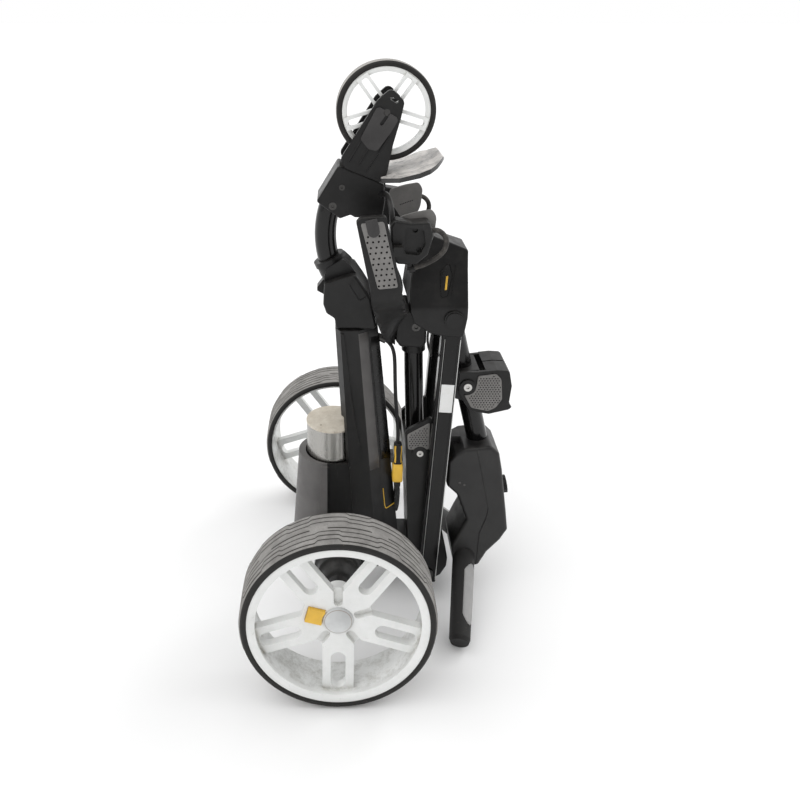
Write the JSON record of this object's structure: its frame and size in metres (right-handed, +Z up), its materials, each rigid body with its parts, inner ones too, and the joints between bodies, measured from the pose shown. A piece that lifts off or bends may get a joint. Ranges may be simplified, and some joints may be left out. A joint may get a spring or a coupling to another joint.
{
  "type": "electric golf trolley",
  "caption": "Electric golf trolley folded upright on its rear wheels, with spoked white wheels, folding strut frame, bag cradles, motor and control handle",
  "frame": {"origin": "on the floor under the middle of the overall box of the folded trolley", "axes": "+Z up, +X from the motor side towards the folded handle, Y along the rear axle"},
  "size_m": [0.438, 0.56, 0.9165],
  "materials": {
    "black_moulding": "moulded black plastic, fine texture",
    "grey_moulding": "moulded grey plastic",
    "black_paint": "satin black powder coat",
    "white_moulding": "white moulded plastic with light soiling",
    "yellow_moulding": "yellow moulded plastic",
    "tyre_rubber": "grey-black tread, dusty",
    "pad_rubber": "grey dimpled rubber",
    "grip_rubber": "black soft grip with grey inlay",
    "cord_fabric": "woven elastic sleeve",
    "lead_rubber": "black cable sheath",
    "motor_steel": "silver plated can",
    "cap_paint": "beige coated end cap",
    "bright_steel": "plated steel",
    "screen_glass": "dark display window"
  },
  "bodies": {
    "chassis": {"chassis_beam": "black_moulding", "beam_covers": "black_moulding", "gear_housing": "grey_moulding", "motor_can": "motor_steel", "motor_end_cap": "cap_paint", "axle_boots": "black_moulding", "front_tube": "black_paint", "neck_casting": "black_moulding", "fork_crown": "black_moulding", "fork_leg_near": "black_moulding", "fork_leg_far": "black_moulding", "leg_panels": "grey_moulding", "front_axle": "bright_steel", "bag_shelf": "black_moulding", "rear_bracket": "black_moulding", "lower_stem": "black_moulding", "stem_pads": "pad_rubber", "cradle_yoke": "black_moulding", "stem_tube": "black_paint", "cradle_arm_near": "black_moulding", "cradle_arm_far": "black_moulding", "cradle_pads": "pad_rubber", "cradle_wing_near": "black_moulding", "cradle_wing_far": "black_moulding", "bag_cords": "cord_fabric", "battery_lead": "lead_rubber", "lead_plug": "black_moulding", "chassis_fasteners": "bright_steel"},
    "release_knob": {"release_knob": "black_moulding"},
    "front_wheel": {"front_rim": "white_moulding", "front_tyre": "tyre_rubber"},
    "drive": {"drive_axle": "bright_steel", "crown_gear": "bright_steel"},
    "pinion": {"motor_pinion": "bright_steel"},
    "wheel_near": {"rim_near": "white_moulding", "tyre_near": "tyre_rubber", "hub_cap_near": "white_moulding"},
    "wheel_release_near": {"wheel_release_near": "yellow_moulding"},
    "wheel_far": {"rim_far": "white_moulding", "tyre_far": "tyre_rubber", "hub_cap_far": "white_moulding"},
    "wheel_release_far": {"wheel_release_far": "yellow_moulding"},
    "strut_frame": {"strut_near": "black_paint", "strut_far": "black_paint", "hinge_head": "black_moulding", "hinge_pin": "bright_steel"},
    "bail": {"wire_bail": "bright_steel"},
    "handle": {"handle_tube": "black_paint", "console_body": "black_moulding", "console_screen": "screen_glass", "grip_near": "grip_rubber", "grip_far": "grip_rubber", "bag_bracket": "black_moulding", "bag_screws": "bright_steel"},
    "speed_dial": {"speed_dial": "black_moulding"},
    "power_button": {"power_button": "black_moulding"},
    "bag_arm_near": {"bag_arm_near": "black_moulding", "bag_pad_near": "pad_rubber"},
    "bag_arm_far": {"bag_arm_far": "black_moulding", "bag_pad_far": "pad_rubber"}
  },
  "joints": [
    {"name": "strut_fold", "type": "hinge", "parent": "chassis", "child": "strut_frame", "pos_m": [0.0775, 0, 0.06], "axis": [0, 1, 0], "range_deg": [0, 48]},
    {"name": "handle_fold", "type": "hinge", "parent": "strut_frame", "child": "handle", "pos_m": [0.103, 0, 0.526], "axis": [0, -1, 0], "range_deg": [0, 71]},
    {"name": "wheel_near_spin", "type": "hinge", "parent": "chassis", "child": "wheel_near", "pos_m": [-0.0765, -0.2425, 0.1425], "axis": [0, 1, 0], "continuous": true},
    {"name": "wheel_far_spin", "type": "hinge", "parent": "chassis", "child": "wheel_far", "pos_m": [-0.0765, 0.2425, 0.1425], "axis": [0, 1, 0], "continuous": true},
    {"name": "drive_spin", "type": "hinge", "parent": "chassis", "child": "drive", "pos_m": [-0.0765, 0, 0.1425], "axis": [0, 1, 0], "continuous": true},
    {"name": "pinion_spin", "type": "hinge", "parent": "chassis", "child": "pinion", "pos_m": [-0.0845, 0, 0.172], "axis": [0, 0, 1], "continuous": true},
    {"name": "front_wheel_spin", "type": "hinge", "parent": "chassis", "child": "front_wheel", "pos_m": [-0.0045, 0, 0.841], "axis": [0, 1, 0], "continuous": true},
    {"name": "wheel_release_near_push", "type": "slide", "parent": "wheel_near", "child": "wheel_release_near", "axis": [0, 1, 0], "range_m": [0, 0.003], "stiffness_N_per_m": 500},
    {"name": "wheel_release_far_push", "type": "slide", "parent": "wheel_far", "child": "wheel_release_far", "axis": [0, -1, 0], "range_m": [0, 0.003], "stiffness_N_per_m": 500},
    {"name": "release_knob_push", "type": "slide", "parent": "chassis", "child": "release_knob", "axis": [1, 0, 0], "range_m": [0, 0.004], "stiffness_N_per_m": 600},
    {"name": "bail_swing", "type": "hinge", "parent": "strut_frame", "child": "bail", "pos_m": [0.0835, 0, 0.504], "axis": [0, -1, 0], "range_deg": [0, 8]},
    {"name": "bag_arm_near_swing", "type": "hinge", "parent": "handle", "child": "bag_arm_near", "pos_m": [0.1345, -0.035, 0.398], "axis": [0, 1, 0], "range_deg": [-8, 8]},
    {"name": "bag_arm_far_swing", "type": "hinge", "parent": "handle", "child": "bag_arm_far", "pos_m": [0.1345, 0.035, 0.398], "axis": [0, 1, 0], "range_deg": [-8, 8]},
    {"name": "speed_dial_turn", "type": "hinge", "parent": "handle", "child": "speed_dial", "pos_m": [0.20704, 0, 0.19153], "axis": [0.9902, 0, 0.1396], "range_deg": [-150, 150]},
    {"name": "power_button_push", "type": "slide", "parent": "handle", "child": "power_button", "axis": [-0.9902, 0, -0.1396], "range_m": [0, 0.002], "stiffness_N_per_m": 400}
  ],
  "couplings": [
    {"joint": "handle_fold", "follows": "strut_fold", "ratio": 1.4583},
    {"joint": "drive_spin", "follows": "wheel_near_spin", "ratio": 1},
    {"joint": "pinion_spin", "follows": "wheel_near_spin", "ratio": -3}
  ]
}
